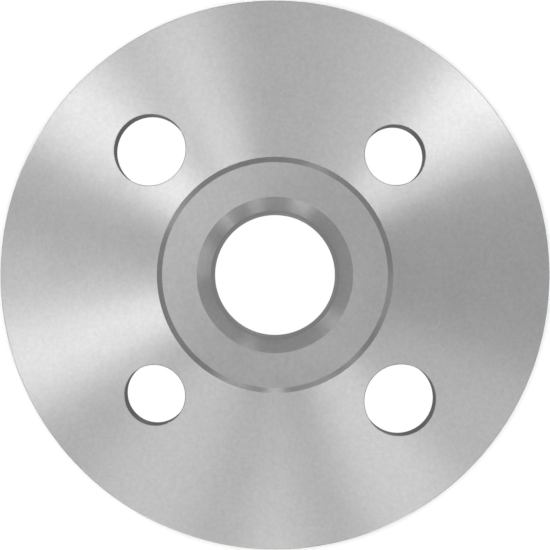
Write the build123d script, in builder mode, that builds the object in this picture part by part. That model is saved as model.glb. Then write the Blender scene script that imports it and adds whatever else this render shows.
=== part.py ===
from build123d import *
import os
from math import radians, tan

# A round hub flange: a disc with a flat back and a coned front, and a hub pressed into it.
#
# +Z is the flange's axis, from the flat back face to the nose of the hub. The origin is the
# centre of the back face, which is the face that seats on whatever the flange is bolted to.
# Everything is in millimetres and degrees.

# Overall sizes
flange_diameter = 100.0
flange_height = 25.0        # back face to hub nose

# Disc
rim_thickness = 3.0         # the disc's edge, at its thinnest
face_angle = 15.0           # the front face climbs this steeply from the rim to the hub

# Bolt holes: one pair of each size, on circles of their own
holes_in_pair = 2
large_hole_diameter = 13.0  # M12 passes through
large_bolt_circle = 63.6
large_hole_angle = 135.0    # from +X, counter-clockwise seen from the front
small_hole_diameter = 11.0  # M10 passes through
small_bolt_circle = 61.0
small_hole_angle = 45.0

# Hub
hub_diameter = 40.3
nose_chamfer = 0.95         # outer edge of the nose, 45 degrees
bore_diameter = 22.0
countersink_depth = 2.3     # mouth of the bore, 45 degrees

# Press fit of the hub's spigot in the disc
spigot_diameter = 32.0
fit_clearance = 0.0         # radial; an interference fit, drawn size on size
spigot_lead = 0.5           # chamfer that starts the spigot into its seat
shoulder_fillet = 0.3       # corner between spigot and shoulder
seat_relief = 0.5           # chamfer in the disc that clears that fillet

# Every other sharp edge
edge_break = 0.1

flange_radius = flange_diameter / 2
hub_radius = hub_diameter / 2
bore_radius = bore_diameter / 2
spigot_radius = spigot_diameter / 2
seat_radius = spigot_radius + fit_clearance

# The hub's shoulder stands on a flat seat, level with the top of the cone.
seat_height = rim_thickness + (flange_radius - hub_radius) * tan(radians(face_angle))

os.makedirs("parts", exist_ok=True)

# Disc: turned profile, from the seat bore out to the rim and back up the cone
with BuildPart() as flange_plate:
    with BuildSketch(Plane.XZ):
        with BuildLine():
            Polyline(
                (seat_radius, 0),
                (flange_radius, 0),
                (flange_radius, rim_thickness),
                (hub_radius, seat_height),
                (seat_radius, seat_height),
                close=True,
            )
        make_face()
    revolve(axis=Axis.Z)

    # Relief at the top of the seat bore, the smaller circle of the seat
    seat = flange_plate.faces().filter_by(Plane.XY).sort_by(Axis.Z)[-1]
    chamfer(seat.edges().sort_by(SortBy.LENGTH)[0], seat_relief)

    with PolarLocations(large_bolt_circle / 2, holes_in_pair, start_angle=large_hole_angle):
        Hole(large_hole_diameter / 2)
    with PolarLocations(small_bolt_circle / 2, holes_in_pair, start_angle=small_hole_angle):
        Hole(small_hole_diameter / 2)

    # Broken edges: all of the back face, and all of the cone except its top, where the hub stands
    back = flange_plate.faces().filter_by(Plane.XY).sort_by(Axis.Z)[0]
    cone = flange_plate.faces().filter_by(GeomType.CONE).sort_by(SortBy.AREA)[-1]
    cone_edges = cone.edges().sort_by(Axis.Z)[:-1]
    chamfer(back.edges() + cone_edges, edge_break)

flange_plate.part.label = "flange_plate"
export_step(flange_plate.part, "parts/flange_plate.step")

# Hub: turned profile, a spigot that fills the seat bore and a barrel that stands on the seat
with BuildPart() as hub:
    with BuildSketch(Plane.XZ):
        with BuildLine():
            Polyline(
                (bore_radius, 0),
                (spigot_radius, 0),
                (spigot_radius, seat_height),
                (hub_radius, seat_height),
                (hub_radius, flange_height),
                (bore_radius, flange_height),
                close=True,
            )
        make_face()
    revolve(axis=Axis.Z)

    # Circles at each level, smallest first
    levels = hub.edges().filter_by(GeomType.CIRCLE).group_by(Axis.Z)
    bore_back, spigot_back = levels[0].sort_by(SortBy.LENGTH)
    shoulder_corner = levels[1].sort_by(SortBy.LENGTH)[0]
    bore_mouth, nose_edge = levels[-1].sort_by(SortBy.LENGTH)

    fillet(shoulder_corner, shoulder_fillet)
    chamfer(spigot_back, spigot_lead)
    chamfer(bore_back, edge_break)
    chamfer(bore_mouth, countersink_depth)
    chamfer(nose_edge, nose_chamfer)

hub.part.label = "hub"
export_step(hub.part, "parts/hub.step")
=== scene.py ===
# %% [markdown]
# # A turned steel hub flange in a white studio
#
# The real object is a small pipe flange: a steel disc with a flat back and a front that slopes
# down from the middle to a thin rim, and a short hub pressed into it. A lathe cut every face, so
# what gives it away as metal is how it mirrors the room: long soft rays that fan out from the
# hub. This lesson lights and finishes it. The shape itself comes ready made from the CAD model.

# %% Load the CAD model
import math

import bmesh
import bpy
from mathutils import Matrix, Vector


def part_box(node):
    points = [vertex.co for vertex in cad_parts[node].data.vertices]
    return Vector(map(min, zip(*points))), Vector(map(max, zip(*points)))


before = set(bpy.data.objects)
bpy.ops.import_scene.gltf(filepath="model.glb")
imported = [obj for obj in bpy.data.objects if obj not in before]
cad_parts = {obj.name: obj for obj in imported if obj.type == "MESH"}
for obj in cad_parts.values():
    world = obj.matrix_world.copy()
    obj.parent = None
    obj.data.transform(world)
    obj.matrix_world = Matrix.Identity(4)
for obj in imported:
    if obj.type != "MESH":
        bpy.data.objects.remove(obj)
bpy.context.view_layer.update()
MM = 0.001

# %% [markdown]
# ## The sizes that the scene needs
#
# The model's own boxes give the disc's radius and the hub's. The light panel, the drilled walls
# and the lens are worked out from them, so they follow a change in the CAD.

# %% Read the sizes
FLANGE_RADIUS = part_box("flange_plate")[1].x
HUB_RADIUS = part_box("hub")[1].x
print("flange radius in mm:", FLANGE_RADIUS / MM, "hub radius:", HUB_RADIUS / MM)

# %% [markdown]
# ## Two small tools
#
# Colours are written as the hex values that a colour picker shows. Those are sRGB, and a shader
# wants linear light, so one function turns one into the other. A second function adds a shader
# node, with its settings and its links in one call, which keeps each material short enough to
# read as a recipe.

# %% Colour and node helpers
def linear(hex_colour):
    """The linear RGBA of an sRGB hex colour such as "#808080"."""
    channels = [int(hex_colour[i : i + 2], 16) / 255 for i in (1, 3, 5)]
    straight = [c / 12.92 if c <= 0.04045 else ((c + 0.055) / 1.055) ** 2.4 for c in channels]
    return (*straight, 1.0)


def add_node(tree, kind, inputs=None, **settings):
    """Adds a node. An input given as another node's output is linked, and any other is set."""
    node = tree.nodes.new(kind)
    for name, value in settings.items():
        setattr(node, name, value)
    for socket, value in (inputs or {}).items():
        if isinstance(value, bpy.types.NodeSocket):
            tree.links.new(value, node.inputs[socket])
        else:
            node.inputs[socket].default_value = value
    return node


def new_tree(data):
    """An empty node tree on a material or a world."""
    data.use_nodes = True
    data.node_tree.nodes.clear()
    return data.node_tree


print("mid grey is", linear("#808080"))

# %% [markdown]
# ## Steel as the lathe leaves it
#
# The flange is stainless steel, turned on a lathe. The tool leaves grooves that run round the
# axis, far too fine to see one by one, and their effect is what the eye reads: across the
# grooves a reflection smears out, along them it stays fairly sharp. A shader calls that
# anisotropy. Its tangent has to lie across the grooves, and the grooves are always level and
# always square to the surface's own slope, so they run along the cross product of "up" and the
# surface normal. That one rule holds on the cone, the rim, the hub's wall, the bore and even the
# drilled bolt holes. A flat face has no slope, so there the direction round the axis takes over:
# it is always in the sum, with a share too small to matter on a slope.

# %% The direction across the tool marks
ROUND_SHARE = 0.01


def across_the_grooves(tree, geometry, place):
    """A direction in the surface, square to the tool marks."""
    up = (0.0, 0.0, 1.0)
    slope = add_node(
        tree, "ShaderNodeVectorMath", {0: up, 1: geometry.outputs["Normal"]}, operation="CROSS_PRODUCT"
    )
    around = add_node(tree, "ShaderNodeVectorMath", {0: up, 1: place}, operation="CROSS_PRODUCT")
    grooves = add_node(
        tree, "ShaderNodeVectorMath",
        {0: around.outputs[0], 1: (ROUND_SHARE,) * 3, 2: slope.outputs[0]},
        operation="MULTIPLY_ADD",
    )
    across = add_node(
        tree, "ShaderNodeVectorMath",
        {0: grooves.outputs[0], 1: geometry.outputs["Normal"]},
        operation="CROSS_PRODUCT",
    )
    return add_node(tree, "ShaderNodeVectorMath", {0: across.outputs[0]}, operation="NORMALIZE")


print("tangent rule ready")

# %% [markdown]
# Close up, turned steel isn't clean. It has a fine even grain, where the tool tore the metal a
# little, and broad soft patches where it cut a little better or worse. They change its tone by
# only a few percent, and without them the steel looks like plastic film. Noise stands for both.
# The grain also moves the surface by about a thousandth of a millimetre, so it sparkles more
# where a reflection changes quickly and almost vanishes where the reflection is even.

# %% Grain and patches
GRAIN_MM = 0.8             # the coarsest grain, drawn coarser than the real one so that it shows
GRAIN_OCTAVES = 2          # two halvings, down to 0.2 mm, about as fine as shows
GRAIN_EVENNESS = 0.9       # how strong each halving is beside the one before
PATCH_MM = 6.0
PATCH_OCTAVES = 2
PATCH_EVENNESS = 0.5
GRAIN_HEIGHT_MM = 0.003


def speckle(tree, place, size_mm, octaves, evenness):
    """Noise from 0 to 1 whose largest spots are size_mm across."""
    noise = add_node(
        tree, "ShaderNodeTexNoise",
        {"Vector": place, "Scale": 1 / (size_mm * MM), "Detail": octaves, "Roughness": evenness},
    )
    return noise.outputs["Fac"]


print("grain from", GRAIN_MM, "down to", GRAIN_MM / 2**GRAIN_OCTAVES, "mm")

# %% [markdown]
# The bolt holes are drilled after the turning, and a drill leaves a rougher wall than a lathe tool
# does. How much darker it is here is given, and is more than the roughness alone would do.
# The darker colour is painted shade, for the shade that falls down inside the holes. The wall is
# found by its shape: it stands upright, and it lies between the hub and the rim. That gives a mask
# of 0 or 1 that roughens the steel only there and paints that shade only there.

# %% Where the steel is drilled
UPRIGHT = 0.3              # a wall's normal leans less than this out of level
RIM_MARGIN = 0.99


def drilled_walls(tree, geometry, place):
    """1 on the walls of the bolt holes, 0 elsewhere."""
    level = add_node(tree, "ShaderNodeVectorMath", {0: place, 1: (1.0, 1.0, 0.0)}, operation="MULTIPLY")
    reach = add_node(tree, "ShaderNodeVectorMath", {0: level.outputs[0]}, operation="LENGTH")
    facing = add_node(tree, "ShaderNodeSeparateXYZ", {0: geometry.outputs["Normal"]})
    lean = add_node(tree, "ShaderNodeMath", {0: facing.outputs["Z"]}, operation="ABSOLUTE")
    mask = add_node(tree, "ShaderNodeMath", {0: lean.outputs[0], 1: UPRIGHT}, operation="LESS_THAN")
    for limit, side in ((HUB_RADIUS, "GREATER_THAN"), (RIM_MARGIN * FLANGE_RADIUS, "LESS_THAN")):
        test = add_node(tree, "ShaderNodeMath", {0: reach.outputs["Value"], 1: limit}, operation=side)
        mask = add_node(
            tree, "ShaderNodeMath", {0: mask.outputs[0], 1: test.outputs[0]}, operation="MULTIPLY"
        )
    return mask.outputs[0]


print("drilled walls lie between", HUB_RADIUS / MM, "and", FLANGE_RADIUS / MM, "mm from the axis")

# %% The turned steel
STEEL_TONE = linear("#C4C4C4")[0]   # a neutral grey, so one channel says it all
STEEL_ROUGHNESS = 0.30
GRAIN_SHARE = 0.16         # how far the grain moves the tone, each way
PATCH_SHARE = 0.03
PATCH_ROUGHNESS = 0.03
PAINTED_HOLE_SHADE = 0.42       # painted shade: a bolt-hole wall's tone as a share of the open steel's
DRILLED_ROUGHNESS = 0.15   # added to the roughness on a drilled wall


def turned_steel(name):
    """Stainless steel, fine turned: neutral grey, satin, smeared across the tool marks."""
    steel = bpy.data.materials.new(name)
    tree = new_tree(steel)
    geometry = add_node(tree, "ShaderNodeNewGeometry")
    place = add_node(tree, "ShaderNodeTexCoord").outputs["Object"]
    grain = speckle(tree, place, GRAIN_MM, GRAIN_OCTAVES, GRAIN_EVENNESS)
    patches = speckle(tree, place, PATCH_MM, PATCH_OCTAVES, PATCH_EVENNESS)
    drilled = drilled_walls(tree, geometry, place)

    # Painted shade: the walls of the bolt holes are darkened in the colour, for the shade inside them.
    shade = add_node(
        tree, "ShaderNodeMapRange",
        {"Value": drilled, "To Min": STEEL_TONE, "To Max": PAINTED_HOLE_SHADE * STEEL_TONE},
    )
    tone = shade.outputs[0]
    for pattern, share in ((grain, GRAIN_SHARE), (patches, PATCH_SHARE)):
        change = add_node(
            tree, "ShaderNodeMapRange", {"Value": pattern, "To Min": 1 - share, "To Max": 1 + share}
        )
        product = add_node(
            tree, "ShaderNodeMath", {0: tone, 1: change.outputs[0]}, operation="MULTIPLY"
        )
        tone = product.outputs[0]

    patchy = add_node(
        tree, "ShaderNodeMapRange",
        {"Value": patches, "To Min": STEEL_ROUGHNESS - PATCH_ROUGHNESS,
         "To Max": STEEL_ROUGHNESS + PATCH_ROUGHNESS},
    )
    rough = add_node(
        tree, "ShaderNodeMath",
        {0: drilled, 1: DRILLED_ROUGHNESS, 2: patchy.outputs[0]}, operation="MULTIPLY_ADD",
    )
    bump = add_node(tree, "ShaderNodeBump", {"Height": grain, "Distance": GRAIN_HEIGHT_MM * MM})
    shader = add_node(
        tree, "ShaderNodeBsdfPrincipled",
        {"Base Color": tone, "Metallic": 1.0, "Roughness": rough.outputs[0], "Anisotropic": 0.5,
         "Tangent": across_the_grooves(tree, geometry, place).outputs[0], "Normal": bump.outputs[0]},
    )
    add_node(tree, "ShaderNodeOutputMaterial", {"Surface": shader.outputs[0]})
    return steel


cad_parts["flange_plate"].material_slots[0].material = turned_steel("turned_steel_disc")
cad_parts["hub"].material_slots[0].material = turned_steel("turned_steel_hub")
print("finishes:", [m.name for m in bpy.data.materials])

# %% [markdown]
# ## A white table with a rolled-up edge
#
# The flange stands on a plain white table. A photographer bends the paper up behind the object,
# so that no line shows where table and wall meet, and here that sweep goes all the way round,
# because the object is looked at from every side. It is one profile turned about the axis: a flat
# disc, a quarter circle and a short wall. The steel doesn't mirror it, though. Steel that sees
# white on every side goes flat and pale, and a studio hangs black cloth round a metal object for
# that reason. So the table is hidden from glossy rays, and the room says what the steel sees
# there. It casts no shadow either, because the room's light comes from outside its wall, and a
# few of the lamps stand below its level.

# %% Turn the table and its sweep
TABLE_RADIUS = 1.6
SWEEP_RADIUS = 0.8
WALL_HEIGHT = 2.2
SWEEP_STEPS = 24
TURN_STEPS = 96


def white_sweep():
    """A flat table that rolls up into a wall, as a surface of revolution."""
    profile = [(0.0, 0.0), (TABLE_RADIUS, 0.0)]
    for step in range(1, SWEEP_STEPS + 1):
        angle = math.pi / 2 * step / SWEEP_STEPS
        reach = TABLE_RADIUS + SWEEP_RADIUS * math.sin(angle)
        profile.append((reach, SWEEP_RADIUS * (1 - math.cos(angle))))
    profile.append((TABLE_RADIUS + SWEEP_RADIUS, WALL_HEIGHT))
    shape = bmesh.new()
    points = [shape.verts.new((x, 0, z)) for x, z in profile]
    edges = [shape.edges.new(pair) for pair in zip(points, points[1:])]
    bmesh.ops.spin(
        shape, geom=points + edges, cent=(0, 0, 0), axis=(0, 0, 1),
        angle=2 * math.pi, steps=TURN_STEPS, use_merge=True,
    )
    bmesh.ops.remove_doubles(shape, verts=shape.verts, dist=1e-5)
    for face in shape.faces:
        face.smooth = True
    mesh = bpy.data.meshes.new("table")
    shape.to_mesh(mesh)
    shape.free()
    table = bpy.data.objects.new("table", mesh)
    bpy.context.scene.collection.objects.link(table)
    return table


table = white_sweep()
table.visible_glossy = False
table.visible_shadow = False
print("table and sweep:", len(table.data.polygons), "faces")

# %% [markdown]
# The table is matt white paper. Right under the flange it is a small light panel, narrower than
# the flange, so that the view down through the bore and the bolt holes stays white and not the
# grey of a deep shadow. Its edge fades out before the rim, so the flange hides where it ends. The
# paper turns black as the panel turns on: glow and lit paper together would be brighter than
# white, and a dark edge in front of something brighter than white looks thinner than it is.

# %% White paper with a light panel under the flange
PAPER_COLOUR = "#F2F2F2"
PANEL_RADIUS = 0.93 * FLANGE_RADIUS
PANEL_FADE = 0.04 * FLANGE_RADIUS


def white_paper():
    """Matt white paper that glows inside PANEL_RADIUS."""
    paper = bpy.data.materials.new("white_paper")
    tree = new_tree(paper)
    place = add_node(tree, "ShaderNodeTexCoord").outputs["Object"]
    reach = add_node(tree, "ShaderNodeVectorMath", {0: place}, operation="LENGTH")
    glow = add_node(
        tree, "ShaderNodeMapRange",
        {"Value": reach.outputs["Value"], "From Min": PANEL_RADIUS, "From Max": PANEL_RADIUS - PANEL_FADE},
    )
    tone = add_node(
        tree, "ShaderNodeMapRange",
        {"Value": glow.outputs[0], "To Min": linear(PAPER_COLOUR)[0], "To Max": 0.0},
    )
    shader = add_node(
        tree, "ShaderNodeBsdfPrincipled",
        {"Base Color": tone.outputs[0], "Roughness": 0.9, "Specular IOR Level": 0.0,
         "Emission Color": (1.0, 1.0, 1.0, 1.0), "Emission Strength": glow.outputs[0]},
    )
    add_node(tree, "ShaderNodeOutputMaterial", {"Surface": shader.outputs[0]})
    return paper


table.data.materials.append(white_paper())
print("light panel radius in mm:", PANEL_RADIUS / MM)

# %% [markdown]
# ## The room
#
# Metal shows its surroundings, so the room is half of the finish. Overhead it is softly bright. At
# the horizon hangs a band of black cloth: the hub's chamfer and the countersink look out sideways
# and see it, and so they are the two dark rings that make the hub read as a step. Just below the
# cloth the room is bright again, because the steel can't mirror the table and has to see
# something pale there instead. Lowest of all it is dim.

# %% Paint the room
ROOM_TONES = (             # angle down from overhead in degrees, brightness
    (0, 0.44),
    (20, 0.50),
    (50, 0.57),
    (62, 0.60),
    (75, 0.60),
    (84, 0.52),
    (89, 0.36),
    (94, 0.09),
    (104, 0.09),
    (116, 0.62),
    (145, 0.62),
    (158, 0.19),
    (180, 0.19),
)


def studio_room():
    """A world that is bright overhead, black at the horizon, pale below it and dim underneath."""
    room = bpy.data.worlds.new("studio")
    tree = new_tree(room)
    direction = add_node(tree, "ShaderNodeTexCoord").outputs["Generated"]
    height = add_node(tree, "ShaderNodeSeparateXYZ", {0: direction}).outputs["Z"]
    angle = add_node(tree, "ShaderNodeMath", {0: height}, operation="ARCCOSINE")
    share = add_node(tree, "ShaderNodeMath", {0: angle.outputs[0], 1: math.pi}, operation="DIVIDE")
    ramp = add_node(tree, "ShaderNodeValToRGB", {"Fac": share.outputs[0]})
    stops = ramp.color_ramp.elements
    while len(stops) < len(ROOM_TONES):
        stops.new(0.5)
    for stop, (degrees, tone) in zip(stops, ROOM_TONES):
        stop.position = degrees / 180
        stop.color = (tone, tone, tone, 1.0)
    light = add_node(tree, "ShaderNodeBackground", {"Color": ramp.outputs["Color"]})
    add_node(tree, "ShaderNodeOutputWorld", {"Surface": light.outputs[0]})
    return room


bpy.context.scene.world = studio_room()
print("room tones:", ROOM_TONES)

# %% [markdown]
# ## Soft boxes
#
# A cone that rises 15 degrees mirrors a viewer above it out to about 36 degrees from overhead,
# each direction round the axis to its own patch of room. So a ring of narrow soft boxes at that
# angle becomes rays on the cone, and the gaps between them become the shade between rays. Each
# box is given by where it stands as seen from the flange, and by its width and length as angles,
# which is how it shows in the steel. They are hidden from the camera, not from the steel.

# %% One soft box
BOX_DISTANCE = 1.0


def soft_box(name, azimuth, lean, width, length, brightness):
    """A rectangular lamp facing the flange: azimuth from +X and lean from overhead, in degrees."""
    lamp = bpy.data.lights.new(name, "AREA")
    lamp.shape = "RECTANGLE"
    lamp.size = 2 * BOX_DISTANCE * math.tan(math.radians(width) / 2)
    lamp.size_y = 2 * BOX_DISTANCE * math.tan(math.radians(length) / 2)
    lamp.energy = brightness * math.pi * lamp.size * lamp.size_y
    box = bpy.data.objects.new(name, lamp)
    bpy.context.scene.collection.objects.link(box)
    turn, tip = math.radians(azimuth), math.radians(lean)
    out = Vector((math.sin(tip) * math.cos(turn), math.sin(tip) * math.sin(turn), math.cos(tip)))
    box.location = out * BOX_DISTANCE
    box.rotation_euler = out.to_track_quat("Z", "Y").to_euler()
    box.visible_camera = False
    return box


# %% [markdown]
# Eleven boxes make the rays. A long one shows from hub to rim. A short one that leans out further
# only catches the outer part of the cone, so its ray fades towards the hub.

# %% Hang the soft boxes that make the rays
RAY_BOXES = (              # name, azimuth, lean, width, length, brightness
    ("ray_upper_right", 40, 46, 13, 18, 2.6),
    ("ray_upper_right_soft", 59, 42, 14, 20, 0.5),
    ("ray_top_right", 80, 36, 14, 22, 0.25),
    ("ray_top_left", 111, 34, 9, 22, 1.2),
    ("ray_upper_left", 140, 38, 13, 26, 1.55),
    ("ray_left", 178, 52, 12, 13, 1.1),
    ("ray_lower_left", 199, 37, 13, 28, 1.4),
    ("ray_bottom_left", 240, 38, 18, 26, 0.62),
    ("ray_bottom", 270, 51, 10, 15, 2.1),
    ("ray_bottom_right", 301, 36, 15, 26, 0.92),
    ("ray_lower_right", 329, 44, 14, 18, 0.5),
)
for settings in RAY_BOXES:
    soft_box(*settings)
print("soft boxes for the rays:", len(RAY_BOXES))

# %% [markdown]
# The rest are small. One almost overhead brightens the left of the hub's flat nose. The glints sit
# near the horizon, where the chamfer and the countersink look. The strips stand below the level of
# the table, which casts no shadow and so lets them through. They do for the bright patches of
# table that the steel would mirror: from the side, they are the upright streaks on the hub's
# barrel that say it is round.

# %% Hang the small soft boxes
SMALL_BOXES = (            # name, azimuth, lean, width, length, brightness
    ("overhead_left", 150, 13, 32, 16, 0.8),
    ("glint_upper_right", 69, 82, 10, 12, 0.55),
    ("glint_left", 141, 76, 14, 12, 0.9),
    ("glint_lower_left", 249, 81, 16, 12, 1.0),
    ("glint_bottom", 270, 95, 7, 10, 2.0),
    ("glint_bottom_right", 285, 74, 7, 12, 1.8),
    ("glint_lower_right", 312, 76, 5, 12, 2.3),
    ("glint_right", 348, 79, 26, 14, 0.5),
    ("strip_upper_right", 68, 122, 14, 24, 1.6),
    ("strip_left", 152, 111, 10, 20, 1.7),
    ("strip_bottom_left", 250, 122, 14, 24, 1.6),
    ("strip_bottom_right", 296, 112, 9, 20, 1.6),
)
for settings in SMALL_BOXES:
    soft_box(*settings)
print("small soft boxes:", len(SMALL_BOXES))

# %% [markdown]
# One more lamp lights only the table: a wide one overhead that the steel doesn't mirror. It turns
# the paper white, and it leaves a faint soft shadow round the foot of the flange.

# %% Light the table
TABLE_LAMP_HEIGHT = 2.0
TABLE_LAMP_SIZE = 2.0
TABLE_LAMP_WATTS = 24.0

table_lamp = bpy.data.lights.new("table_lamp", "AREA")
table_lamp.size = TABLE_LAMP_SIZE
table_lamp.energy = TABLE_LAMP_WATTS
overhead = bpy.data.objects.new("table_lamp", table_lamp)
overhead.location = (0, 0, TABLE_LAMP_HEIGHT)
overhead.visible_glossy = False
overhead.visible_camera = False
bpy.context.scene.collection.objects.link(overhead)
print("table lamp watts:", table_lamp.energy)

# %% [markdown]
# ## The camera
#
# The camera looks straight down the axis, close enough to show some of the bolt holes' walls. Its
# lens is worked out so that the rim's upper edge, the widest thing in view, just fills the width.
# How high that edge is comes from the disc's own mesh: the highest of its outermost points.

# %% Look straight down
CAMERA_HEIGHT = 331 * MM
FRAME_FILL = 0.9981        # share of the picture's width that the rim takes

disc_points = [vertex.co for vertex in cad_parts["flange_plate"].data.vertices]
RIM_HEIGHT = max(point.z for point in disc_points if point.xy.length > RIM_MARGIN * FLANGE_RADIUS)

eye = bpy.data.cameras.new("eye")
eye.sensor_width = 36.0
eye.lens = FRAME_FILL * eye.sensor_width / 2 * (CAMERA_HEIGHT - RIM_HEIGHT) / FLANGE_RADIUS
camera = bpy.data.objects.new("camera", eye)
camera.location = (0, 0, CAMERA_HEIGHT)
bpy.context.scene.collection.objects.link(camera)
bpy.context.scene.camera = camera
bpy.context.scene.view_settings.view_transform = "Standard"
print("lens", round(eye.lens, 2))
